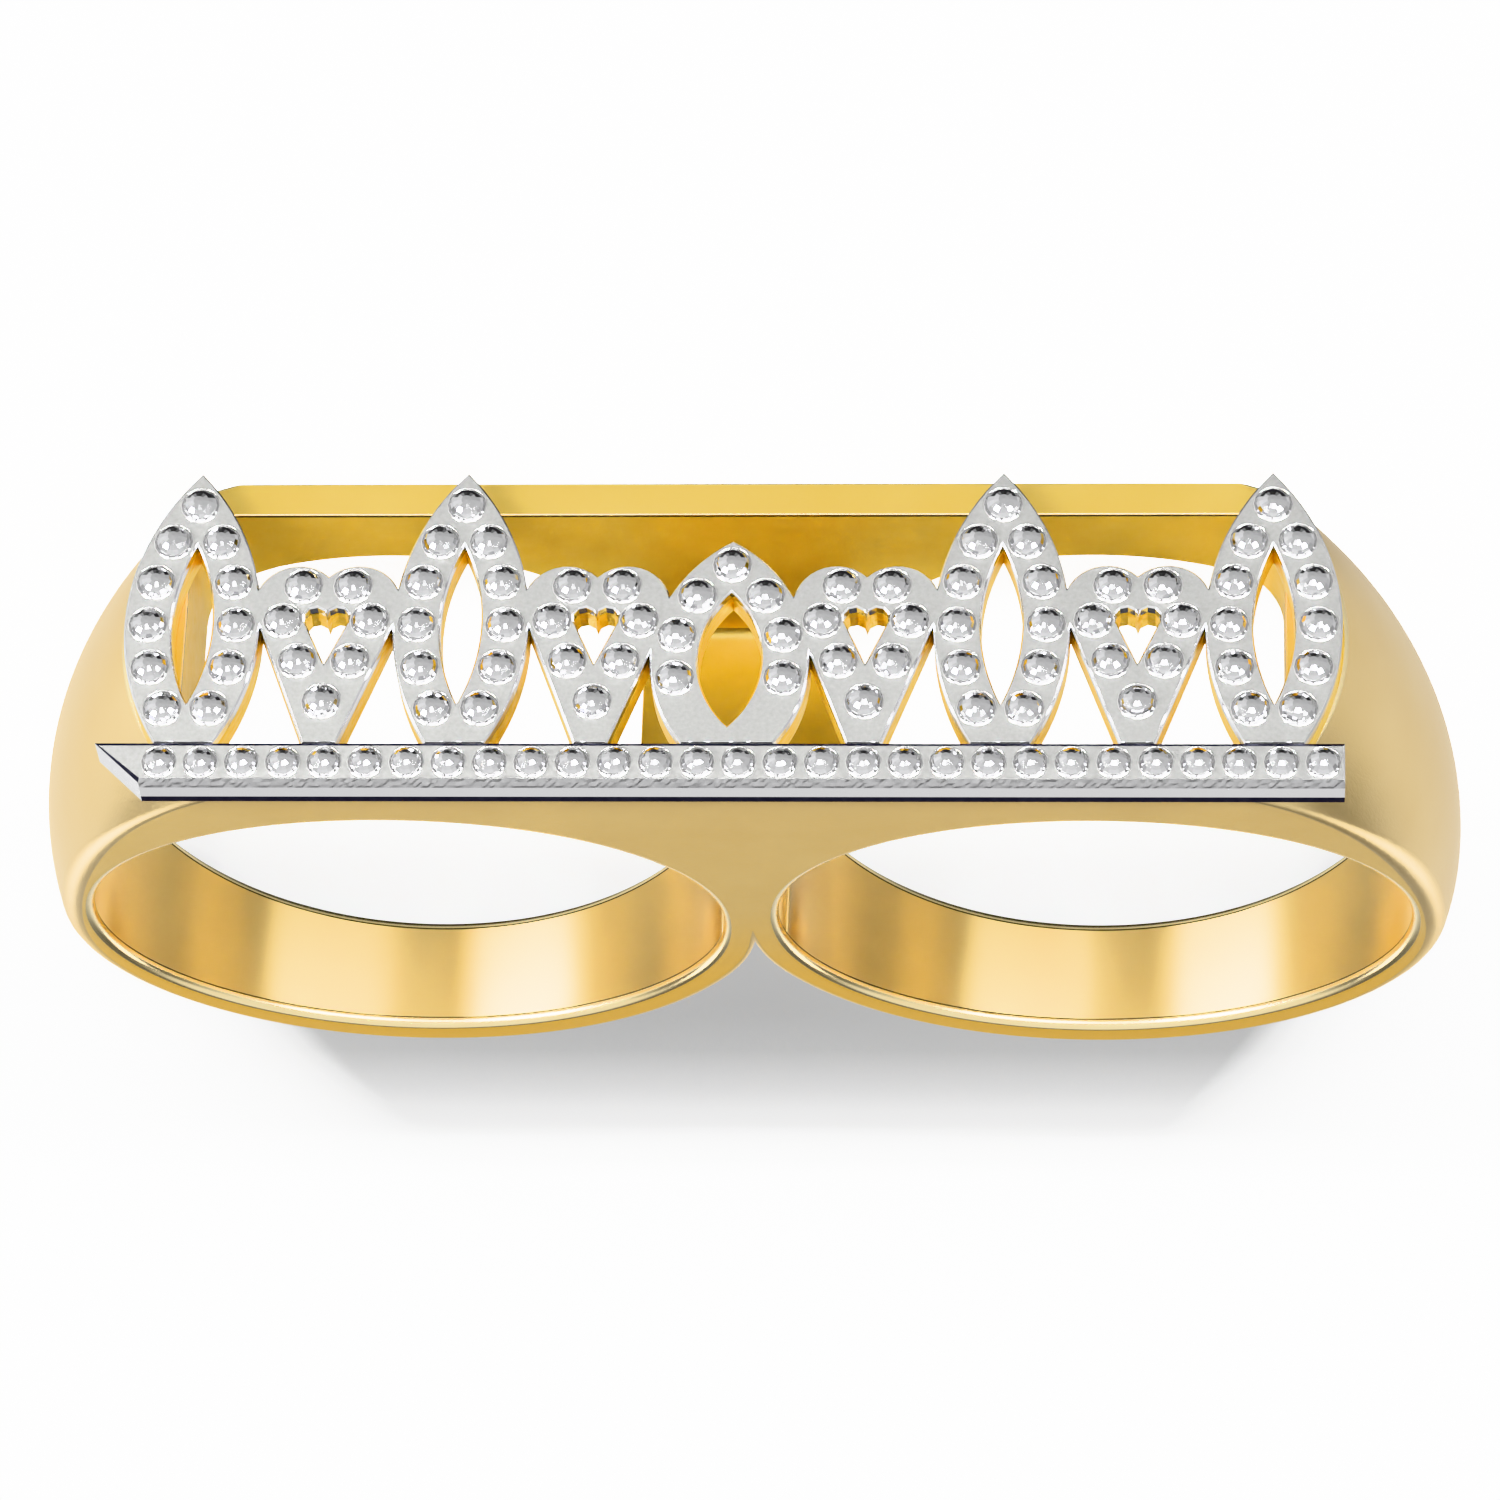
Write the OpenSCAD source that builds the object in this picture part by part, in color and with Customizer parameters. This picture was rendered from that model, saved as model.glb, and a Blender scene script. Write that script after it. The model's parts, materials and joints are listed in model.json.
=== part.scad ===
// Two-finger ring with a windowed frame across both fingers, a beaded bar along its
// front edge and a pierced, beaded plate of leaves and hearts over the window.
// The ring is drawn upright, with x across the hand, y along the fingers and z away
// from the hand, from the middle between the two finger holes. It is then laid on
// its back side, as it rests by itself, with the plate facing -Y.

/* [Finger holes] */
// Radius of each finger hole
hole_r = 8.7; // [8.2:0.1:9.2]
// Distance from the middle of the ring to a finger hole's centre
hole_x = 9.46; // [9.3:0.02:9.6]

/* [Band] */
// Outer radius of each loop at the middle of its width
loop_r = 10.08; // [9.9:0.02:10.2]
// Half width of the band on the palm side
palm_half = 1.55; // [1.4:0.05:1.8]
// Half width of the band beside the fingers
side_half = 2.85; // [2.6:0.05:3.1]
// Radius of the crown across the band and the shoulders
crown_r = 7.2; // [6.8:0.2:9]
// Radius of the shoulders' corners beside the top frame
corner_r = 1.7; // [1.4:0.1:2]

/* [Top frame] */
// Height of the frame's flat top over the finger holes' centres
frame_top = 10.9; // [10.6:0.1:11.2]
// Half depth of the frame's top, front to back
top_half = 4.8; // [4.6:0.05:5]
// Half length of the window in the frame
window_x = 14.6; // [14.2:0.1:14.8]
// Half depth of the window at the top
window_y = 3.8; // [3.6:0.05:3.9]
// Radius of the window's corners
window_corner_r = 1.2; // [1:0.1:1.5]
// Height of the window's floor over the web between the fingers
window_floor = 5.6; // [5.5:0.1:6.2]
// Thinnest that the window leaves the front and back walls
wall_min = 0.45; // [0.4:0.05:0.6]

/* [Plate] */
// Thickness of the plate's gold core
core_t = 0.67; // [0.5:0.01:0.8]
// Thickness of the plate's white face
face_t = 0.3; // [0.25:0.01:0.4]
// Solder seam between two pieces
seam = 0.03; // [0.02:0.01:0.05]

/* [Bead bar] */
// Right end of the bar, cut square
bar_right = 16.1; // [15.9:0.1:16.3]
// Left end of the bar at its back edge, before the mitre
bar_left = 16.6; // [16.4:0.1:16.8]
// How far the mitre runs along the bar
mitre_x = 1.2; // [1:0.1:1.4]
// Back face of the bar
bar_back = -3.75; // [-3.8:0.05:-3.6]
// Front face of the bar
bar_front = -4.92; // [-4.95:0.01:-4.85]
// Height of the bar
bar_t = 1.05; // [0.9:0.05:1.2]
// Width of the bevel along the bar's front edge
bevel_y = 0.15; // [0.1:0.01:0.2]
// Drop of the bevel along the bar's front edge
bevel_z = 0.25; // [0.15:0.05:0.4]
// Number of beads along the bar
bar_beads = 29; // [27:1:29]
// Radius of a bar bead at its foot
bar_bead_r = 0.5; // [0.45:0.01:0.5]

/* [Beads] */
// Radius of a plate bead at its foot
bead_r = 0.53; // [0.5:0.01:0.55]
// Height of a bead over the face
bead_rise = 0.32; // [0.2:0.02:0.4]
// Distance between beads along a stroke of the plate
bead_pitch = 1.3; // [1.25:0.05:1.4]

/* [Openwork] */
// Distance between two neighbouring motifs
motif_pitch = 3.57; // [3.5:0.01:3.6]
// Width of a stroke of the openwork
stroke = 1.26; // [1.2:0.02:1.3]
// Width of a tall leaf
leaf_w = 3.6; // [3.55:0.05:3.7]
// Width of the leaf in the middle
middle_leaf_w = 4.2; // [4.1:0.05:4.3]
// Width of a heart
heart_w = 3.9; // [3.8:0.05:4]
// Top of the tall leaves, which reach the frame's back rail
tall_tip = 4.5; // [4.4:0.05:4.6]
// Top of the leaf in the middle
middle_tip = 2.4; // [2.2:0.05:2.6]
// Top of the hearts
heart_top = 1.65; // [1.5:0.05:1.8]
// Radius of a heart's lobes
lobe_r = 1.15; // [1.1:0.05:1.2]

/* [Hidden] */

gold = "goldenrod";
white_metal = "gainsboro";
slack = 1; // cutters run this far past what they cut

// Half depth of the ring at height z, a parabola through three half depths
bend = ((top_half - side_half) / frame_top + (palm_half - side_half) / loop_r)
       / (frame_top + loop_r);
slope = (top_half - side_half) / frame_top - bend * frame_top;
function half_depth(z) = side_half + slope * z + bend * z * z;
depth_steps = 14;
depth_heights = [for (i = [0:depth_steps])
    -loop_r - slack + i * (frame_top + loop_r + slack) / depth_steps];

// Outline across the shoulders: the crown's arc runs into a corner's arc
corner_over = 0.05; // the corner's arc ends this far past the frame
corner_y = top_half + corner_over - corner_r;
corner_back = crown_r - sqrt(pow(crown_r - corner_r, 2) - corner_y * corner_y);
join_y = corner_y * crown_r / (crown_r - corner_r);
function crown_sag(y) = crown_r - sqrt(crown_r * crown_r - y * y);

// How the ring lies: on the frame's back edge and the loops' back rims
palm_rim = loop_r - crown_sag(palm_half);
rest_tilt = atan((top_half - half_depth(-palm_rim)) / (frame_top + palm_rim));
rest_lift = top_half * cos(rest_tilt) - frame_top * sin(rest_tilt);

// The window follows the walls' slope up to here, and runs straight above
window_straight = hole_r + 0.3;
window_steps = 5;

// Heights of the plate's layers
core_z = frame_top + seam;
face_z = core_z + core_t + seam;
face_top = face_z + face_t;

// Each leaf's foot runs into the bar, where it is cut off
foot_run = 1;
function leaf_arc_r(tip, width) =
    let (half_l = (tip - bar_back + foot_run) / 2)
    (half_l * half_l + width * width / 4) / width;
function leaf_mid(tip) = (tip + bar_back - foot_run) / 2;

// Each heart's sides run straight from its lobes to a point inside the bar
point_run = 1.15;
heart_point = bar_back - point_run;
lobe_x = heart_w / 2 - lobe_r;
lobe_y = heart_top - lobe_r;
function side_angle(cx, cy, r, py) =
    atan2(cy - py, cx) - asin(r / norm([cx, cy - py]));
heart_side = side_angle(lobe_x, lobe_y, lobe_r, heart_point);

// Places of the motifs, from the middle out: leaf, heart, tall leaf, heart, tall leaf
heart_places = [-3, -1, 1, 3];
tall_places = [-4, -2, 2, 4];

// Beads down both sides of a leaf, from the one at its tip
function leaf_beads(tip, width, pairs) =
    let (r = leaf_arc_r(tip, width) - stroke / 2, cx = leaf_arc_r(tip, width) - width / 2,
         top = acos(cx / r), step = bead_pitch / r * 180 / PI)
    concat([[0, leaf_mid(tip) + r * sin(top)]],
        [for (k = [1:pairs], side = [-1, 1])
            [side * (r * cos(top - k * step) - cx),
             leaf_mid(tip) + r * sin(top - k * step)]]);

// Beads on a heart: one on each lobe, two down each side and one over the point
heart_bead_gap = 1.22;
lobe_bead_in = 0.14;
lobe_bead_up = 0.52;
lobe_bead = [lobe_x - lobe_bead_in, lobe_y + lobe_bead_up];
side_bead_drop = 0.8;
function heart_side_bead(k) =
    let (along = (lobe_y - heart_point) / sin(heart_side) - side_bead_drop - k * bead_pitch)
    [along * cos(heart_side) - stroke / 2 * sin(heart_side),
     heart_point + along * sin(heart_side) + stroke / 2 * cos(heart_side)];
heart_beads = concat(
    [for (side = [-1, 1]) [side * lobe_bead[0], lobe_bead[1]]],
    [for (k = [0:1], side = [-1, 1])
        [side * heart_side_bead(k)[0], heart_side_bead(k)[1]]],
    [[0, heart_side_bead(1)[1] - heart_bead_gap]]);

tall_pairs = 5;
middle_pairs = 3;
plate_beads = concat(leaf_beads(middle_tip, middle_leaf_w, middle_pairs),
    [for (m = tall_places, b = leaf_beads(tall_tip, leaf_w, tall_pairs))
        b + [m * motif_pitch, 0]],
    [for (m = heart_places, b = heart_beads) b + [m * motif_pitch, 0]]);

// Beads along the bar, between its two ends
bar_bead_y = (bar_back + bar_front + bevel_y) / 2;
bar_bead_first = -bar_left + mitre_x + bead_r;
bar_bead_last = bar_right - bead_r - seam;

// The ring laid on its back side, centred over the floor
function ball_r(foot_r) = (foot_r * foot_r + bead_rise * bead_rise) / (2 * bead_rise);
bead_ball_r = ball_r(bead_r);
tip_bead_y = leaf_beads(tall_tip, leaf_w, 0)[0][1];
plate_reach = tip_bead_y * sin(rest_tilt)
    + (face_top + bead_rise - bead_ball_r) * cos(rest_tilt) + bead_ball_r;
palm_reach = (loop_r - crown_r) * cos(rest_tilt) + crown_r;
module laid_down() {
    translate([0, (plate_reach - palm_reach) / 2, rest_lift])
        rotate([0, 0, 180])
            rotate([rest_tilt - 90, 0, 0])
                children();
}

// Band and shoulders

module crowned_profile(mid_r) {
    crown_x = mid_r - crown_r;
    corner_x = mid_r - corner_back;
    intersection() {
        translate([crown_x, 0]) circle(crown_r, $fn = 180);
        translate([0, -join_y]) square([mid_r + slack, 2 * join_y]);
    }
    intersection() {
        for (side = [-1, 1])
            translate([corner_x, side * corner_y]) circle(corner_r, $fn = 60);
        translate([0, -top_half - slack]) square([mid_r, 2 * (top_half + slack)]);
    }
    translate([0, -corner_y - corner_r]) square([corner_x, 2 * (corner_y + corner_r)]);
}

module crowned_disc(mid_r) {
    rotate([90, 0, 0]) rotate_extrude($fn = 180) crowned_profile(mid_r);
}

module half_space(z_from, z_to) {
    translate([-2 * loop_r - slack, -top_half - slack, z_from])
        cube([4 * loop_r + 2 * slack, 2 * (top_half + slack), z_to - z_from]);
}

// A prism along x whose half depth follows the ring's, less a wall, down to a floor
module depth_prism(half_x, heights, wall, most) {
    sides = [for (z = heights) [min(half_depth(z) - wall, most), z]];
    count = len(sides);
    rotate([90, 0, 90])
        linear_extrude(height = 2 * half_x, center = true)
            polygon(concat(sides,
                [for (i = [1:count]) [-sides[count - i][0], sides[count - i][1]]]));
}

module outer_form() {
    intersection() {
        depth_prism(hole_x + loop_r + slack, depth_heights, 0, top_half);
        union() {
            intersection() {
                crowned_disc(hole_x + loop_r);
                half_space(0, frame_top);
            }
            for (side = [-1, 1])
                intersection() {
                    translate([side * hole_x, 0, 0]) crowned_disc(loop_r);
                    half_space(-loop_r - slack, 0);
                }
        }
    }
}

module finger_holes() {
    for (side = [-1, 1])
        translate([side * hole_x, 0, 0])
            rotate([90, 0, 0])
                cylinder(r = hole_r, h = 2 * (top_half + slack), center = true, $fn = 180);
}

module window() {
    heights = concat(
        [for (i = [0:window_steps])
            window_floor + i * (window_straight - window_floor) / window_steps],
        [frame_top + slack]);
    straight_x = window_x - window_corner_r;
    straight_y = window_y - window_corner_r;
    intersection() {
        depth_prism(window_x + slack, heights, wall_min, window_y);
        translate([0, 0, window_floor - slack])
            linear_extrude(height = frame_top + 3 * slack - window_floor) {
                square([2 * window_x, 2 * straight_y], center = true);
                square([2 * straight_x, 2 * window_y], center = true);
                for (sx = [-1, 1], sy = [-1, 1])
                    translate([sx * straight_x, sy * straight_y])
                        circle(window_corner_r, $fn = 48);
            }
    }
}

module ring_body() {
    color(gold) laid_down() difference() {
        outer_form();
        finger_holes();
        window();
    }
}

// Openwork plate

module almond(arc_r, centre_x, mid_y) {
    intersection() {
        translate([centre_x, mid_y]) circle(arc_r, $fn = 120);
        translate([-centre_x, mid_y]) circle(arc_r, $fn = 120);
    }
}

module leaf(tip, width) {
    arc_r = leaf_arc_r(tip, width);
    centre_x = arc_r - width / 2;
    difference() {
        almond(arc_r, centre_x, leaf_mid(tip));
        almond(arc_r - stroke, centre_x, leaf_mid(tip));
    }
}

module heart_shape(cx, cy, r, py) {
    angle = side_angle(cx, cy, r, py);
    run = sqrt(pow(norm([cx, cy - py]), 2) - r * r);
    touch = [run * cos(angle), py + run * sin(angle)];
    for (side = [-1, 1])
        translate([side * cx, cy]) circle(r, $fn = 60);
    polygon([[0, py], touch, [cx, cy], [-cx, cy], [-touch[0], touch[1]]]);
}

module heart() {
    eye_r = 0.3;
    eye_drop = 0.42;
    difference() {
        heart_shape(lobe_x, lobe_y, lobe_r, heart_point);
        heart_shape(eye_r, lobe_y - eye_drop, eye_r, heart_point + stroke / cos(heart_side));
    }
}

module openwork_outline() {
    intersection() {
        union() {
            leaf(middle_tip, middle_leaf_w);
            for (m = tall_places) translate([m * motif_pitch, 0]) leaf(tall_tip, leaf_w);
            for (m = heart_places) translate([m * motif_pitch, 0]) heart();
        }
        translate([-2 * loop_r, bar_back + seam]) square([4 * loop_r, 2 * top_half]);
    }
}

module bead(foot_r) {
    intersection() {
        translate([0, 0, bead_rise - ball_r(foot_r)]) sphere(ball_r(foot_r), $fn = 24);
        translate([0, 0, -face_t / 2]) cylinder(r = foot_r, h = bead_rise + face_t, $fn = 24);
    }
}

module openwork_core() {
    color(gold) laid_down()
        translate([0, 0, core_z]) linear_extrude(height = core_t) openwork_outline();
}

module openwork_face() {
    color(white_metal) laid_down() {
        translate([0, 0, face_z]) linear_extrude(height = face_t) openwork_outline();
        for (place = plate_beads) translate([place[0], place[1], face_top]) bead(bead_r);
    }
}

// Bar of beads along the front edge

module bar_form() {
    intersection() {
        rotate([90, 0, 90])
            translate([0, 0, -bar_left - slack])
                linear_extrude(height = bar_left + bar_right + slack)
                    polygon([
                        [bar_back, 0], [bar_front, 0], [bar_front, bar_t - bevel_z],
                        [bar_front + bevel_y, bar_t], [bar_back, bar_t]]);
        linear_extrude(height = bar_t)
            polygon([
                [-bar_left, bar_back], [-bar_left + mitre_x, bar_front],
                [bar_right, bar_front], [bar_right, bar_back]]);
    }
}

module bead_bar() {
    color(white_metal) laid_down() translate([0, 0, core_z]) {
        bar_form();
        for (i = [0:bar_beads - 1])
            translate([
                bar_bead_first + i * (bar_bead_last - bar_bead_first) / (bar_beads - 1),
                bar_bead_y, bar_t]) bead(bar_bead_r);
    }
}

ring_body();
openwork_core();
openwork_face();
bead_bar();
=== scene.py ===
import json
import math
import random

import bmesh
import bpy
from mathutils import Matrix, Vector
from mathutils.geometry import delaunay_2d_cdt

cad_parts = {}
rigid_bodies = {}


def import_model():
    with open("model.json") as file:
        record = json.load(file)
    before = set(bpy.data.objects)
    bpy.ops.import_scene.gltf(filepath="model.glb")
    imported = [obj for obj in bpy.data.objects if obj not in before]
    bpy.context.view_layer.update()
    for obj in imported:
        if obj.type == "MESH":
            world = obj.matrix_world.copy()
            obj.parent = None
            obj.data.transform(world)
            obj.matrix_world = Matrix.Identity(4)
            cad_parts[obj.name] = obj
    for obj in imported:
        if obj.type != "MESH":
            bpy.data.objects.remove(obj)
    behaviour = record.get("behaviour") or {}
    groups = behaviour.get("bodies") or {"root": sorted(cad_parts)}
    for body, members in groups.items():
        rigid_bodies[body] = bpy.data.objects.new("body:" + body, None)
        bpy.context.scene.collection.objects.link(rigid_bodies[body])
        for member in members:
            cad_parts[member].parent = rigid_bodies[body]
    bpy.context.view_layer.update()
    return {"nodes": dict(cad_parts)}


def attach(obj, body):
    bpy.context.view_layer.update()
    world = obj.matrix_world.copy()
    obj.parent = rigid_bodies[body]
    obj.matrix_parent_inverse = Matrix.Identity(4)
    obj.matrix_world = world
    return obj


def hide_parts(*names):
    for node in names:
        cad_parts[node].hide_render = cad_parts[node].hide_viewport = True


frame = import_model()
print("loaded the frame with", len(frame["nodes"]), "nodes")

mm = 0.001


def mixed(a, b, part):
    return a + (b - a) * part


def steps(count, start=0):
    return [i / count for i in range(start, count + 1)]


def smoothed(part):
    part = min(1.0, max(0.0, part))
    return part * part * (3 - 2 * part)


# Ring body, worked out upright in mm: x across the hand, y along the fingers, z off the hand

ring = {
    "holeRadius": 8.7,
    "holeX": 9.46,
    "loopRadius": 10.08,
    "palmHalf": 1.55,  # half depths at the palm, beside the fingers and at the top
    "sideHalf": 2.85,
    "topHalf": 4.8,
    "frameTop": 10.9,
    "crownRadius": 7.2,  # of the shoulders across their depth
    "cornerRadius": 1.7,
    "cornerOver": 0.05,
    "windowX": 14.6,  # the window's half length, half depth and corner
    "windowY": 3.8,
    "windowCorner": 1.2,
    "windowFloor": 5.6,  # height of the web between the holes
    "wall": 0.45,  # least thickness beside the window
    "restShift": 1.3019,  # centres the lying ring
    "upperColumns": 44,
    "arcColumns": 8,
    "topColumns": 26,
    "floorColumns": 4,
    "seamColumns": 14,
    "lowerColumns": 84,
    "faceRows": 6,
    "endRows": 8,
    "boreRows": 4,
    "wallRows": 7,
    "topRows": (0, 0.3, 0.65, 1),
    "profileSteps": 240,
    "settleRounds": 60,
    "seamTurn": 10,
    "weld": 0.002,
    "roundSegments": 5,
    "ridgeTop": 0.12,  # width of the rounded ridge at the bar, beside the fingers, at the palm and notch
    "ridge": 0.42,
    "ridgePalm": 0.24,
    "notchRidge": 0.08,
    "ridgeRun": 7.0,
    "notchRun": 1.6,
    "ridgeRoom": 0.85,
    "ridgeShare": 0.6,
    "ridgeGap": 0.08,
    "rim": 0.24,
    "rimRoom": 0.5,
    "rimShare": 0.34,
    "edge": 0.07,
    "frameEdgeShare": 0.45,
    "boreEdgeShare": 0.7,
    # width of the painted shade lines, near-black strips at the bores' rims and the window's top edges
    "line": 0.05,
    "palmDip": 0.3,
}
topHalf = ring["topHalf"]
frameTop = ring["frameTop"]
loopRadius = ring["loopRadius"]
crownRadius = ring["crownRadius"]
cornerRadius = ring["cornerRadius"]
holeRadius = ring["holeRadius"]
holeX = ring["holeX"]

# the half depth is a curve of the height, through the palm's, the sides' and the top's
depthBend = ((topHalf - ring["sideHalf"]) / frameTop
             + (ring["palmHalf"] - ring["sideHalf"]) / loopRadius) / (frameTop + loopRadius)
depthSlope = (topHalf - ring["sideHalf"]) / frameTop - depthBend * frameTop
cornerY = topHalf + ring["cornerOver"] - cornerRadius
cornerBack = crownRadius - math.sqrt((crownRadius - cornerRadius) ** 2 - cornerY ** 2)
joinY = cornerY * crownRadius / (crownRadius - cornerRadius)


def halfDepth(z):
    return ring["sideHalf"] + depthSlope * z + depthBend * z * z


def crownedRadius(middle, y):
    # radius of the shoulders at y, for their radius at the middle
    y = abs(y)
    if y <= joinY:
        return middle - crownRadius + math.sqrt(crownRadius ** 2 - y * y)
    return middle - cornerBack + math.sqrt(max(0.0, cornerRadius ** 2 - (y - cornerY) ** 2))


# The ring lies on its back side, with the plate facing -Y
palmRim = crownedRadius(loopRadius, ring["palmHalf"])
restTilt = math.atan((topHalf - halfDepth(-palmRim)) / (frameTop + palmRim))
restLift = topHalf * math.cos(restTilt) - frameTop * math.sin(restTilt)
restTurn = restTilt - math.pi / 2
toRow = (Matrix.Scale(mm, 4)
         @ Matrix.Translation((0, ring["restShift"], restLift))
         @ Matrix.Rotation(math.pi, 4, "Z")
         @ Matrix.Rotation(restTurn, 4, "X"))


def pieceFrom(name, mesh, finishes, node):
    # a piece from a mesh in upright mm
    mesh.transform(toRow)
    mesh.update()
    piece = bpy.data.objects.new(name, mesh)
    bpy.context.scene.collection.objects.link(piece)
    for finish in finishes:
        mesh.materials.append(finish)
    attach(piece, "root")
    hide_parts(node)
    return piece


# Shader shorthand

class Wire:
    def __init__(self, finish, socket):
        self.finish = finish
        self.socket = socket

    def sum(self, kind, first, second):
        return self.finish.node("ShaderNodeMath", {"operation": kind}, {0: first, 1: second})

    def __add__(self, other):
        return self.sum("ADD", self, other)

    __radd__ = __add__

    def __sub__(self, other):
        return self.sum("SUBTRACT", self, other)

    def __rsub__(self, other):
        return self.sum("SUBTRACT", other, self)

    def __mul__(self, other):
        return self.sum("MULTIPLY", self, other)

    __rmul__ = __mul__


class Shading:
    # the nodes of one material, or of the world
    def __init__(self, owner, output):
        owner.use_nodes = True
        self.tree = owner.node_tree
        self.tree.nodes.clear()
        self.output = self.tree.nodes.new(output)

    def node(self, kind, settings, inputs, out=0):
        made = self.tree.nodes.new(kind)
        for key, value in settings.items():
            if key == "stops":
                self.setStops(made.color_ramp, value)
            else:
                setattr(made, key, value)
        for key, value in inputs.items():
            if isinstance(value, Wire):
                self.tree.links.new(value.socket, made.inputs[key])
            else:
                made.inputs[key].default_value = value
        return Wire(self, made.outputs[out])

    def setStops(self, ramp, stops):
        while len(ramp.elements) < len(stops):
            ramp.elements.new(0.5)
        for element, (place, shade) in zip(ramp.elements, stops):
            element.position = place
            element.color = (shade, shade, shade, 1)

    def ramp(self, value, stops):
        return self.node("ShaderNodeValToRGB", {"stops": stops}, {0: value})

    def blend(self, factor, first, second, kind="MIX"):
        settings = {"data_type": "RGBA", "blend_type": kind}
        return self.node("ShaderNodeMix", settings, {0: factor, 6: first, 7: second}, 2)

    def ranged(self, value, start, end, kind="SMOOTHSTEP"):
        return self.node("ShaderNodeMapRange", {"interpolation_type": kind}, {
            "Value": value, "From Min": start, "From Max": end})

    def axis(self, vector, name):
        return self.node("ShaderNodeSeparateXYZ", {}, {0: vector}, name)

    def show(self, shader):
        self.tree.links.new(shader.socket, self.output.inputs["Surface"])


class Finish(Shading):
    def __init__(self, name):
        self.material = bpy.data.materials.new(name)
        super().__init__(self.material, "ShaderNodeOutputMaterial")

    def places(self, scale):
        # object coordinates in mm, turned upright and stretched by scale
        where = self.node("ShaderNodeTexCoord", {}, {}, "Object")
        return self.node("ShaderNodeMapping", {}, {
            "Vector": where,
            "Rotation": (restTurn, 0, 0),
            "Scale": tuple(s / mm for s in scale),
        })

    def noise(self, scale, size, detail=2, rough=0.5):
        return self.node("ShaderNodeTexNoise", {}, {
            "Vector": self.places(scale), "Scale": size, "Detail": detail, "Roughness": rough})

    def bump(self, height, strength, distance):
        return self.node("ShaderNodeBump", {}, {
            "Height": height, "Strength": strength, "Distance": distance * mm})

    def surface(self, inputs):
        self.show(self.node("ShaderNodeBsdfPrincipled", {}, inputs))
        return self.material


metal = {
    "evenScale": (1, 1, 1),
    "grainDetail": 3,
    "grainRough": 0.6,
    "coatRough": 0.35,
    "drawnTurn": 0.25,
    "palmFrom": 1.0,  # heights between which the gold deepens to the palm's
    "palmTo": -6.0,
}


def opaque(colour):
    return (*colour, 1)


def metalFinish(name, look):
    # grain feeds roughness and bump, and a broader cloud the colour where a look has one
    finish = Finish(name)
    scale = look.get("grainScale", metal["evenScale"])
    grain = finish.noise(scale, look["grainSize"], metal["grainDetail"], metal["grainRough"])
    cloud = finish.noise(metal["evenScale"], look["cloudSize"]) if "cloudSize" in look else grain
    shade = finish.blend(cloud, opaque(look["deep"]), opaque(look["light"]))
    if "palm" in look:
        height = finish.axis(finish.places(metal["evenScale"]), "Z")
        low = finish.ranged(height, metal["palmFrom"], metal["palmTo"])
        shade = finish.blend(low, shade, opaque(look["palm"]))
    inputs = {
        "Base Color": shade,
        "Metallic": 1.0,
        "Roughness": look["rough"] + (grain - 0.5) * look["roughSpread"],
        "Normal": finish.bump(grain, look["bump"], look["bumpDepth"]),
    }
    if "coat" in look:
        inputs["Coat Weight"] = look["coat"]
        inputs["Coat Roughness"] = metal["coatRough"]
    if "drawn" in look:
        inputs["Anisotropic"] = look["drawn"]
        inputs["Anisotropic Rotation"] = metal["drawnTurn"]
    return finish.surface(inputs)


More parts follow.
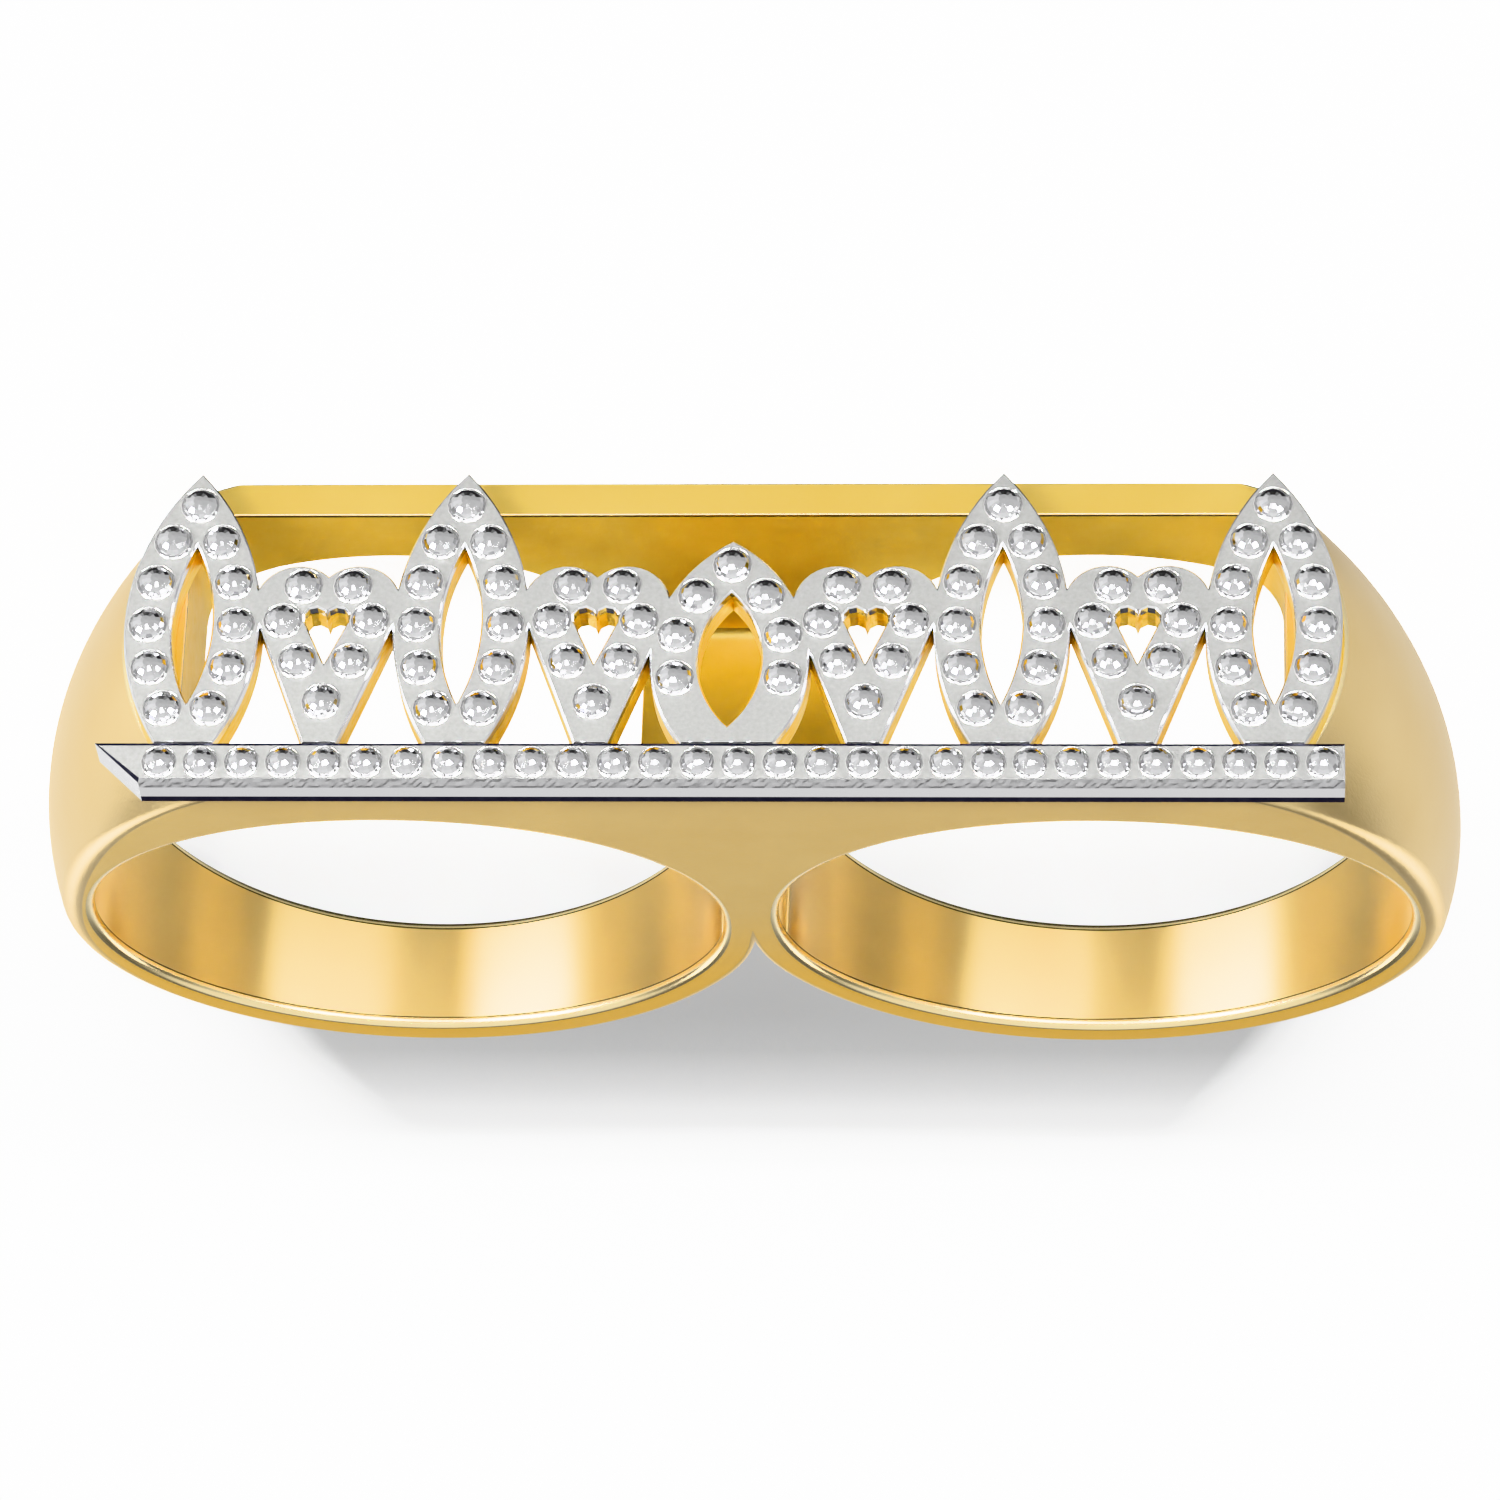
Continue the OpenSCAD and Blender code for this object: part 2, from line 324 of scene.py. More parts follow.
goldLooks = {
    "satinGold": {
        "deep": (0.80, 0.585, 0.25), "light": (0.87, 0.68, 0.36), "cloudSize": 0.35,
        "palm": (0.95, 0.63, 0.14), "rough": 0.32, "roughSpread": 0.12, "coat": 0.25,
        "grainScale": (1, 1, 3), "grainSize": 8, "bump": 0.25, "bumpDepth": 0.02},
    "matteGold": {
        "deep": (0.84, 0.59, 0.20), "light": (0.90, 0.66, 0.26), "cloudSize": 0.5,
        "palm": (0.98, 0.62, 0.12), "rough": 0.42, "roughSpread": 0.12, "coat": 0.1,
        "grainScale": (1, 3, 3), "grainSize": 6, "bump": 0.2, "bumpDepth": 0.02},
    "polishedGold": {
        "deep": (0.70, 0.51, 0.20), "light": (0.76, 0.57, 0.25), "cloudSize": 0.3,
        "rough": 0.34, "roughSpread": 0.04, "drawn": 1.0,
        "grainSize": 3, "bump": 0.03, "bumpDepth": 0.02},
    "railGold": {
        "deep": (0.66, 0.44, 0.09), "light": (0.79, 0.58, 0.17), "cloudSize": 0.25,
        "rough": 0.33, "roughSpread": 0.1, "coat": 0.1,
        "grainScale": (1, 4, 4), "grainSize": 5, "bump": 0.12, "bumpDepth": 0.02},
    "castGold": {
        "deep": (0.74, 0.49, 0.08), "light": (0.80, 0.57, 0.13), "cloudSize": 1.2,
        "rough": 0.42, "roughSpread": 0.15,
        "grainSize": 3, "bump": 0.25, "bumpDepth": 0.03},
    # the web's floor deep in the window: gold darkened far below the rest, a painted shade
    "webGoldPaintedShade": {
        "deep": (0.22, 0.17, 0.055), "light": (0.28, 0.22, 0.075), "cloudSize": 1.2,
        "rough": 0.45, "roughSpread": 0.15,
        "grainSize": 3, "bump": 0.25, "bumpDepth": 0.03},
    # burnished edges: smoother for real polish, and paler and brighter than the other golds, a painted
    # highlight
    "edgeGoldPaintedHighlight": {
        "deep": (1.0, 0.80, 0.42), "light": (1.0, 0.88, 0.56), "cloudSize": 0.6,
        "rough": 0.22, "roughSpread": 0.06,
        "grainSize": 5, "bump": 0.05, "bumpDepth": 0.01},
    # near-black gold for the painted shade lines: a dark edge reflection painted along rims and edges
    "paintedShadeLineGold": {
        "deep": (0.08, 0.06, 0.025), "light": (0.15, 0.12, 0.05), "cloudSize": 0.8,
        "rough": 0.35, "roughSpread": 0.1,
        "grainSize": 4, "bump": 0.05, "bumpDepth": 0.01},
    "coreGold": {
        "deep": (0.84, 0.56, 0.09), "light": (0.97, 0.74, 0.18), "cloudSize": 2.5,
        "rough": 0.35, "roughSpread": 0.25,
        "grainScale": (1, 1, 0.25), "grainSize": 5, "bump": 0.8, "bumpDepth": 0.08},
}
whiteLooks = {
    "matteWhite": {
        "deep": (0.23, 0.23, 0.225), "light": (0.33, 0.33, 0.32), "grainSize": 9,
        "rough": 0.42, "roughSpread": 0.1, "bump": 0.2, "bumpDepth": 0.015},
    "brightWhite": {
        "deep": (0.80, 0.80, 0.81), "light": (0.86, 0.86, 0.87), "grainSize": 3,
        "rough": 0.14, "roughSpread": 0.06, "bump": 0.05, "bumpDepth": 0.01},
    "cutWhite": {
        "deep": (0.80, 0.80, 0.80), "light": (0.87, 0.86, 0.85), "grainSize": 5,
        "rough": 0.12, "roughSpread": 0.05, "bump": 0.1, "bumpDepth": 0.01},
    "domeWhite": {
        "deep": (0.70, 0.70, 0.71), "light": (0.82, 0.82, 0.83), "grainSize": 2,
        "rough": 0.06, "roughSpread": 0.03, "bump": 0.06, "bumpDepth": 0.02},
    # near-black white metal for the bar's painted shade lines, under its front and along its back edge
    "paintedShadeLineWhite": {
        "deep": (0.05, 0.05, 0.08), "light": (0.12, 0.12, 0.16), "grainSize": 4,
        "rough": 0.3, "roughSpread": 0.1, "bump": 0.05, "bumpDepth": 0.01},
    # grey white metal for the milled rows: real milling, with a darker colour as painted shade in its
    # grooves
    "milledWhitePaintedShade": {
        "deep": (0.44, 0.44, 0.45), "light": (0.66, 0.66, 0.66), "grainSize": 6,
        "rough": 0.3, "roughSpread": 0.1, "bump": 0.2, "bumpDepth": 0.02},
}
golds = {name: metalFinish(name, look) for name, look in goldLooks.items()}
whites = {name: metalFinish(name, look) for name, look in whiteLooks.items()}
whiteFinishes = list(whites.values())
matte, bright, cut, dome, paintedShadeLine, milledPaintedShade = range(len(whiteFinishes))
print("finishes made:", len(golds) + len(whites))


# Ring body: one quarter is laid out in patches of quads, then mirrored twice

patchGold = {
    "face": "matteGold",
    "crown": "satinGold",
    "top": "railGold",
    "bore": "polishedGold",
    "wall": "castGold",
    "floor": "webGoldPaintedShade",
    # the rim and frame lines are near-black painted shade lines
    "rimLine": "paintedShadeLineGold",
    "frameLine": "paintedShadeLineGold",
}
patchNames = list(patchGold)
bodyGolds = [name for name in golds if name != "coreGold"]
softEdges = {
    ("face", "rimLine"): ring["rim"],
    ("face", "top"): ring["edge"],
    ("crown", "top"): ring["edge"],
    ("frameLine", "top"): ring["edge"] * ring["frameEdgeShare"],
    ("bore", "wall"): ring["edge"] * ring["boreEdgeShare"],
    ("bore", "floor"): ring["edge"] * ring["boreEdgeShare"],
}


def profileTable(middle):
    # length along the crowned profile from the middle out, against y
    table = [(0.0, 0.0)]
    count = ring["profileSteps"]
    for i in range(1, count + 1):
        y = topHalf * i / count
        length, lastY = table[-1]
        rise = crownedRadius(middle, y) - crownedRadius(middle, lastY)
        table.append((length + math.hypot(y - lastY, rise), y))
    return table


crownTable = profileTable(loopRadius)


def tableLookup(table, value, source, target):
    # the target column at a value of the source column
    for low, high in zip(table, table[1:]):
        if value <= high[source]:
            span = high[source] - low[source]
            part = (value - low[source]) / span if span else 0
            return low[target] + part * (high[target] - low[target])
    return table[-1][target]


def crownPoint(half, s, y):
    # a point of the shoulders: s runs from the side to the top, or round the loop to the notch
    if half == "upper":
        radius = crownedRadius(holeX + loopRadius, y)
        turn = s * math.asin(frameTop / radius)
        return radius * math.cos(turn), y, radius * math.sin(turn)
    radius = crownedRadius(loopRadius, y)
    turn = -s * (math.pi - math.acos(min(1.0, holeX / radius)))
    return holeX + radius * math.cos(turn), y, radius * math.sin(turn)


def ridgeDepth(half, s):
    # where the shoulders meet the front face, found by closing in on it
    y = ring["sideHalf"]
    for _ in range(ring["settleRounds"]):
        y = 0.5 * (y + halfDepth(crownPoint(half, s, y)[2]))
    return y


def ridgeWidth(x, z):
    # sharp at the bar, broad beside the fingers, narrower round the palm and sharp at the notch
    if z > 0:
        return mixed(ring["ridgeTop"], ring["ridge"], smoothed((frameTop - z) / ring["ridgeRun"]))
    width = mixed(ring["ridge"], ring["ridgePalm"], smoothed(-z / loopRadius))
    return mixed(ring["notchRidge"], width, smoothed(abs(x) / ring["notchRun"]))


def crownColumn(half, s):
    # points from the ridge to the middle of the shoulders
    reach = tableLookup(crownTable, ridgeDepth(half, s), 1, 0)
    rows = ring["arcColumns"] + ring["endRows"]
    first = ring["ridge"] + ring["ridgeGap"]
    lengths = [reach] + [(reach - first) * (1 - k / (rows - 1)) for k in range(rows)]
    return [crownPoint(half, s, -tableLookup(crownTable, length, 0, 1)) for length in lengths]


def borePlace(angle):
    return holeX + holeRadius * math.cos(angle), holeRadius * math.sin(angle)


def boreAngle(x):
    return math.acos((x - holeX) / holeRadius)


straightX = ring["windowX"] - ring["windowCorner"]


def windowDepth(x, z):
    # half depth of the window at x, no deeper than the tapering walls allow
    depth = ring["windowY"]
    if x > straightX:
        depth += math.sqrt(max(0.0, ring["windowCorner"] ** 2 - (x - straightX) ** 2))
        depth -= ring["windowCorner"]
    return min(depth, halfDepth(z) - ring["wall"])


endBottom = borePlace(boreAngle(ring["windowX"]))[1]
endDepth = windowDepth(ring["windowX"], endBottom)
endShare = endDepth / halfDepth(endBottom)
floorAngle = math.pi - math.asin(ring["windowFloor"] / holeRadius)
floorX = borePlace(floorAngle)[0]
floorDepth = windowDepth(0, ring["windowFloor"])
floorShare = floorDepth / halfDepth(ring["windowFloor"])


def bodyColumns():
    # each column joins a place on the bore's rim to a place on the face's outline
    arcStart = boreAngle(ring["windowX"])
    arcEnd = boreAngle(straightX)
    columns = []
    notch = crownPoint("lower", 1, ridgeDepth("lower", 1))
    notchAngle = math.atan2(notch[2], notch[0] - holeX)
    for part in reversed(steps(ring["lowerColumns"], 1)):
        columns.append({"angle": notchAngle * part, "crown": ("lower", part)})
    for part in steps(ring["upperColumns"]):
        angle = arcStart * part
        columns.append({"angle": angle, "crown": ("upper", angle / arcEnd)})
    columns[-1]["window"] = "end"
    for part in steps(ring["arcColumns"], 1):
        x = straightX + ring["windowCorner"] * math.cos(part * math.pi / 2)
        angle = boreAngle(x)
        columns.append({"angle": angle, "crown": ("upper", angle / arcEnd), "window": "arc"})
    cornerX = crownPoint("upper", 1, topHalf)[0]
    columns[-1]["topX"] = cornerX
    for part in steps(ring["topColumns"], 1):
        angle = boreAngle(mixed(straightX, floorX, part))
        columns.append({"angle": angle, "topX": mixed(cornerX, floorX, part), "window": "side"})
    columns[-1]["window"] = "corner"
    seamAngle = floorAngle + math.radians(ring["seamTurn"])
    for part in steps(ring["floorColumns"], 1):
        x = floorX * (1 - part)
        columns.append({"angle": mixed(floorAngle, seamAngle, part), "topX": x, "floorX": x})
    for part in steps(ring["seamColumns"], 1):
        angle = mixed(seamAngle, notchAngle + 2 * math.pi, part)
        columns.append({"angle": angle, "seamZ": mixed(frameTop, notch[2], part)})
    return columns


class Patchwork:
    def __init__(self):
        self.form = bmesh.new()
        self.layer = self.form.faces.layers.int.new("patch")

    def patchOf(self, face):
        return patchNames[face[self.layer]]

    def grid(self, patch, rows):
        made = [[self.form.verts.new(point) for point in row] for row in rows]
        for low, high in zip(made, made[1:]):
            for i in range(len(low) - 1):
                face = self.form.faces.new([low[i], low[i + 1], high[i + 1], high[i]])
                face[self.layer] = patchNames.index(patch)


def layFaces(work, columns):
    # the front face and the shoulders, which share the ridge
    faceRows, crownRows = [], []
    for column in columns:
        innerX, innerZ = borePlace(column["angle"])
        column["inner"] = (innerX, innerZ)
        if "crown" in column:
            crown = crownColumn(*column["crown"])
            crownRows.append(crown)
            outerX, outerZ = crown[0][0], crown[0][2]
        if "topX" in column:
            outerX, outerZ = column["topX"], frameTop
        if "seamZ" in column:
            outerX, outerZ = 0.0, column["seamZ"]
        length = math.hypot(outerX - innerX, outerZ - innerZ)
        first = min(ring["rimRoom"] / length, ring["rimShare"])
        last = min(ring["ridgeRoom"] / length, ring["ridgeShare"])
        row = []
        for part in [0.0] + [mixed(first, 1 - last, p) for p in steps(ring["faceRows"])] + [1.0]:
            x, z = mixed(innerX, outerX, part), mixed(innerZ, outerZ, part)
            row.append((x, -halfDepth(z), z))
        faceRows.append(row)
    work.grid("face", faceRows)
    work.grid("crown", crownRows)


def insideDepth(column):
    # half depth of the bore's middle part: the window's where it is open, and in line with it elsewhere
    x, z = column["inner"]
    window = column.get("window")
    if window in ("arc", "side"):
        return windowDepth(x, z)
    if window == "end":
        return endDepth
    if window == "corner":
        return floorDepth
    if "crown" not in column:
        return floorShare * halfDepth(z)
    half, part = column["crown"]
    if half == "upper":
        return endShare * halfDepth(z)
    dip = 1 - ring["palmDip"] * math.sin(math.pi * part)
    return mixed(endShare, floorShare, part) * halfDepth(z) * dip


def layBores(work, columns):
    # a bore's rim and inside, on both sides of the window
    rims, rimShadeLines, outerSide, webSide = [], [], [], []
    for column in columns:
        x, z = column["inner"]
        edge = halfDepth(z)
        inside = insideDepth(column)
        # a thin near-black strip at the rim: a painted shade line
        shadeLineEnd = edge - ring["rim"] - ring["line"]
        rims.append([(x, -mixed(shadeLineEnd, inside, p), z) for p in steps(ring["boreRows"])])
        rimShadeLines.append([(x, -edge, z), (x, -shadeLineEnd, z)])
        across = [(x, -inside * (1 - p), z) for p in steps(ring["endRows"])]
        pastWindow = "floorX" in column or "seamZ" in column
        if column.get("window") in (None, "end") and not pastWindow:
            outerSide.append(across)
        if column.get("window") == "corner" or pastWindow:
            webSide.append(across)
    work.grid("rimLine", rimShadeLines)
    for rows in (rims, outerSide, webSide):
        work.grid("bore", rows)


def wallColumn(x, depth, heights):
    return [(x, -min(depth, halfDepth(z) - ring["wall"]), z) for z in heights]


def layTop(work, columns):
    # the top, and the window's walls and floor under it
    # a thin near-black strip at the top of the window's walls: a painted shade line
    shadeLineBottom = frameTop - ring["edge"] - ring["line"]
    across = steps(ring["endRows"])
    windowLine = [(ring["windowX"], endDepth * (1 - p), endBottom) for p in reversed(across)]
    for column in columns:
        if column.get("window") in ("arc", "side", "corner"):
            x, z = column["inner"]
            windowLine.append((x, windowDepth(x, frameTop), z))
        elif "floorX" in column:
            windowLine.append((column["floorX"], ring["windowY"], ring["windowFloor"]))
    walls, frameShadeLines, tops, floors = [], [], [], []
    for x, depth, bottom in windowLine:
        heights = [mixed(shadeLineBottom, bottom, p) for p in steps(ring["wallRows"])]
        walls.append(wallColumn(x, depth, heights))
        frameShadeLines.append(wallColumn(x, depth, [frameTop, shadeLineBottom]))
    outerLine = crownColumn("upper", 1)[::-1]
    outerLine += [(c["topX"], -topHalf, frameTop) for c in columns if "topX" in c][1:]
    for outer, (x, depth, _) in zip(outerLine, windowLine):
        inner = (x, -depth, frameTop)
        tops.append([tuple(mixed(a, b, p) for a, b in zip(inner, outer)) for p in ring["topRows"]])
    for x in [floorX] + [c["floorX"] for c in columns if "floorX" in c]:
        floors.append([(x, -floorDepth * (1 - p), ring["windowFloor"]) for p in across])
    work.grid("wall", walls)
    work.grid("frameLine", frameShadeLines)
    work.grid("top", tops)
    work.grid("floor", floors)


def mirrorTwice(form):
    for axis in (0, 1):
        copied = bmesh.ops.duplicate(form, geom=form.verts[:] + form.edges[:] + form.faces[:])["geom"]
        for item in copied:
            if isinstance(item, bmesh.types.BMVert):
                item.co[axis] = -item.co[axis]
        bmesh.ops.reverse_faces(form, faces=[f for f in copied if isinstance(f, bmesh.types.BMFace)])
        bmesh.ops.remove_doubles(form, verts=form.verts[:], dist=ring["weld"])
    bmesh.ops.recalc_face_normals(form, faces=form.faces[:])


def countOpen(form):
    return sum(1 for e in form.edges if len(e.link_faces) != 2)


def edgeWidth(work, edge):
    # how far an edge is rounded, by the two patches that meet there
    if len(edge.link_faces) != 2:
        return 0
    pair = tuple(sorted(work.patchOf(f) for f in edge.link_faces))
    if pair == ("crown", "face"):
        middle = (edge.verts[0].co + edge.verts[1].co) / 2
        return ridgeWidth(middle.x, middle.z)
    return softEdges.get(pair, 0)


def roundedMesh(mesh, finish):
    # rounds the weighted edges while the mesh is still in mm
    holder = bpy.data.objects.new("rounding", mesh)
    bpy.context.scene.collection.objects.link(holder)
    rounding = holder.modifiers.new("edges", "BEVEL")
    rounding.limit_method = "WEIGHT"
    rounding.width = ring["ridge"]
    rounding.segments = ring["roundSegments"]
    rounding.use_clamp_overlap = False
    rounding.material = finish
    evening = holder.modifiers.new("normals", "WEIGHTED_NORMAL")
    evening.keep_sharp = False
    bpy.context.view_layer.update()
    solid = holder.evaluated_get(bpy.context.evaluated_depsgraph_get())
    rounded = bpy.data.meshes.new_from_object(solid)
    bpy.data.objects.remove(holder)
    return rounded


def buildBody():
    columns = bodyColumns()
    work = Patchwork()
    form = work.form
    layFaces(work, columns)
    layBores(work, columns)
    layTop(work, columns)
    mirrorTwice(form)
    print("body:", len(form.faces), "faces,", countOpen(form), "open edges")
    weights = form.edges.layers.float.new("bevel_weight_edge")
    for e in form.edges:
        e[weights] = edgeWidth(work, e) / ring["ridge"]
    for f in form.faces:
        f.smooth = True
        f.material_index = bodyGolds.index(patchGold[work.patchOf(f)])
    mesh = bpy.data.meshes.new("ring body")
    form.to_mesh(mesh)
    form.free()
    for name in bodyGolds:
        mesh.materials.append(golds[name])
    burnishedPaintedHighlight = bodyGolds.index("edgeGoldPaintedHighlight")
    rounded = roundedMesh(mesh, burnishedPaintedHighlight)

    # the ridge goes back to the shoulders' finish, and only rims and top edges keep the burnished finish
    # with its painted highlight
    rimReach = holeRadius + 1.5 * ring["rim"]
    topReach = frameTop - 2 * ring["edge"]
    for f in rounded.polygons:
        x, _, z = f.center
        onRidge = z < topReach and math.hypot(abs(x) - holeX, z) > rimReach
        if f.material_index == burnishedPaintedHighlight and onRidge:
            f.material_index = bodyGolds.index(patchGold["crown"])
    return rounded


body = pieceFrom("ring_body_shell", buildBody(), [], "ring_body")
body.visible_diffuse = False  # keeps the gold's warm glow off the floor
print("ring body:", len(body.data.polygons), "faces")


# Openwork plate: leaves and hearts, joined in plan and then raised in layers

openwork = {
    "coreBottom": 10.93,
    "coreTop": 11.6,
    "faceBottom": 11.63,
    "faceTop": 11.93,
    "stroke": 1.26,
    "pitch": 3.57,
    "beadRadius": 0.53,
    "beadStep": 1.3,
    "barBack": -3.75,
    "seam": 0.03,
    "footRun": 1.0,  # how far leaves and hearts run on under the bar before they are cut
    "pointRun": 1.15,
    "leafWidth": 3.6,
    "middleWidth": 4.2,
    "heartWidth": 3.9,
    "tallTip": 4.5,
    "middleTip": 2.4,
    "heartTop": 1.65,
    "lobeRadius": 1.15,
    "eyeRadius": 0.3,
    "eyeDrop": 0.42,
    "heartPlaces": (-3, -1, 1, 3),
    "tallPlaces": (-4, -2, 2, 4),
    "tallPairs": 5,
    "middlePairs": 3,
    "heartBeadGap": 1.22,
    "lobeBead": (-0.14, 0.52),
    "sideBeadDrop": 0.8,
    "chord": 0.22,
    "leastChords": 4,
    "heartChords": 12,
    "leastGap": 0.04,
    "coreRows": 4,
    "edgeInset": 0.045,
    "edgeDrop": 0.05,
    "mitreLimit": 0.5,
    "planTolerance": 1e-6,
    "weld": 0.0005,
}
barBack = openwork["barBack"]
heartPoint = barBack - openwork["pointRun"]
lobeRadius = openwork["lobeRadius"]
lobeX = openwork["heartWidth"] / 2 - lobeRadius
lobeY = openwork["heartTop"] - lobeRadius
stroke = openwork["stroke"]


def leafArc(tip, width):
    # radius of a leaf's two arcs, and the height of their middle
    half = (tip - barBack + openwork["footRun"]) / 2
    return (half * half + width * width / 4) / width, (tip + barBack - openwork["footRun"]) / 2


def arcPoints(centre, radius, start, end):
    count = max(openwork["leastChords"], math.ceil(abs(end - start) * radius / openwork["chord"]))
    angles = [mixed(start, end, p) for p in steps(count)]
    return [(centre[0] + radius * math.cos(a), centre[1] + radius * math.sin(a)) for a in angles]


def almond(arcRadius, centreX, middle, x):
    reach = math.acos(centreX / arcRadius)
    right = arcPoints((x - centreX, middle), arcRadius, -reach, reach)
    left = arcPoints((x + centreX, middle), arcRadius, math.pi - reach, math.pi + reach)
    return right[:-1] + left[:-1]


def leaf(tip, width, x):
    arcRadius, middle = leafArc(tip, width)
    centreX = arcRadius - width / 2
    return almond(arcRadius, centreX, middle, x), almond(arcRadius - stroke, centreX, middle, x)


def heartSide(cx, cy, radius, point):
    # slope of the straight side from the point to the lobe
    return math.atan2(cy - point, cx) - math.asin(radius / math.hypot(cx, cy - point))


def heartShape(cx, cy, radius, point, x):
    side = heartSide(cx, cy, radius, point)
    run = math.sqrt(cx * cx + (cy - point) ** 2 - radius * radius)
    dip = math.atan2(math.sqrt(max(0.0, radius * radius - cx * cx)), -cx)
    lobe = arcPoints((cx, cy), radius, side - math.pi / 2, dip)
    parts = steps(openwork["heartChords"])[:-1]
    foot = [(run * p * math.cos(side), point + run * p * math.sin(side)) for p in parts]
    right = foot + lobe
    left = [(-px, py) for px, py in reversed(right[1:-1])]
    return [(px + x, py) for px, py in right + left]


def heart(x):
    side = heartSide(lobeX, lobeY, lobeRadius, heartPoint)
    point = heartPoint + stroke / math.cos(side)
    outer = heartShape(lobeX, lobeY, lobeRadius, heartPoint, x)
    eye = openwork["eyeRadius"]
    return outer, heartShape(eye, lobeY - openwork["eyeDrop"], eye, point, x)


def leafBeads(tip, width, pairs, x):
    arcRadius, middle = leafArc(tip, width)
    centreX = arcRadius - width / 2
    radius = arcRadius - stroke / 2
    top = math.acos(centreX / radius)
    places = [(x, middle + radius * math.sin(top))]
    for k in range(1, pairs + 1):
        angle = top - k * openwork["beadStep"] / radius
        y = middle + radius * math.sin(angle)
        places += [(x + side * (radius * math.cos(angle) - centreX), y) for side in (-1, 1)]
    return places


def heartBeads(x):
    side = heartSide(lobeX, lobeY, lobeRadius, heartPoint)
    shift, rise = openwork["lobeBead"]
    places = [(x + s * (lobeX + shift), lobeY + rise) for s in (-1, 1)]
    for k in (0, 1):
        along = (lobeY - heartPoint) / math.sin(side) - openwork["sideBeadDrop"] - k * openwork["beadStep"]
        beadX = along * math.cos(side) - stroke / 2 * math.sin(side)
        beadY = heartPoint + along * math.sin(side) + stroke / 2 * math.cos(side)
        places += [(x + s * beadX, beadY) for s in (-1, 1)]
    return places + [(x, beadY - openwork["heartBeadGap"])]


def placeMotifs():
    pitch = openwork["pitch"]
    motifs = [leaf(openwork["middleTip"], openwork["middleWidth"], 0)]
    beads = leafBeads(openwork["middleTip"], openwork["middleWidth"], openwork["middlePairs"], 0)
    for m in openwork["tallPlaces"]:
        motifs.append(leaf(openwork["tallTip"], openwork["leafWidth"], m * pitch))
        beads += leafBeads(openwork["tallTip"], openwork["leafWidth"], openwork["tallPairs"], m * pitch)
    for m in openwork["heartPlaces"]:
        motifs.append(heart(m * pitch))
        beads += heartBeads(m * pitch)
    return motifs, beads


def loopArea(loop):
    pairs = zip(loop, loop[1:] + loop[:1])
    return sum(a[0] * b[1] - b[0] * a[1] for a, b in pairs) / 2


def cutUp(outlines):
    # triangles of a plan, each with the outlines that hold it
    points, loops = [], []
    for outline in outlines:
        if loopArea(outline) < 0:
            outline = outline[::-1]
        loops.append(list(range(len(points), len(points) + len(outline))))
        points += [Vector(p) for p in outline]
    made = delaunay_2d_cdt(points, [], loops, 0, openwork["planTolerance"], True)
    return made[0], [(list(face), set(held)) for face, held in zip(made[2], made[5])]


def edgeLoops(faces):
    # follows the free edges of a set of triangles round in order
    after = {}
    used = {(a, b) for face in faces for a, b in zip(face, face[1:] + face[:1])}
    for a, b in used:
        if (b, a) not in used:
            after.setdefault(a, []).append(b)
    loops = []
    while after:
        start = next(iter(after))
        loop, here = [], start
        while True:
            loop.append(here)
            onward = after[here].pop()
            if not after[here]:
                del after[here]
            here = onward
            if here == start:
                break
        loops.append(loop)
    return loops


def openworkPlan(motifs):
    # what the motifs cover together, cut straight behind the bar
    reach = 2 * loopRadius
    low = barBack + openwork["seam"]
    outlines = [[(-reach, low), (reach, low), (reach, 2 * topHalf), (-reach, 2 * topHalf)]]
    for outer, inner in motifs:
        outlines += [outer, inner]
    points, faces = cutUp(outlines)
    kept = []
    for face, held in faces:
        solid = any(2 * k + 1 in held and 2 * k + 2 not in held for k in range(len(motifs)))
        if 0 in held and solid:
            kept.append(face)
    return [[tuple(points[i]) for i in loop] for loop in edgeLoops(kept)]


def inset(loop, distance):
    # the metal lies on the left of every loop
    moved = []
    for i, here in enumerate(loop):
        before, after = Vector(loop[i - 1]), Vector(loop[(i + 1) % len(loop)])
        here = Vector(here)
        first, second = (here - before).normalized(), (after - here).normalized()
        across = Vector((-first.y - second.y, first.x + second.x)).normalized()
        stretch = max(openwork["mitreLimit"], across.dot(Vector((-second.y, second.x))))
        moved.append(tuple(here + across * distance / stretch))
    return moved


def thinned(loop, least):
    # drops points that crowd the one before them, so that an inset stays clean
    kept = [loop[0]]
    for point in loop[1:]:
        if math.dist(point, kept[-1]) > least:
            kept.append(point)
    if math.dist(kept[0], kept[-1]) < least:
        kept.pop()
    return kept


def solidPlan(loops, holes):
    # triangles inside the outer loop and outside all the others and the holes
    outer = max(range(len(loops)), key=lambda i: loopArea(loops[i]))
    points, faces = cutUp(loops + holes)
    return points, [face for face, held in faces if held == {outer}]


def raised(loop, z):
    return [(x, y, z) for x, y in loop]


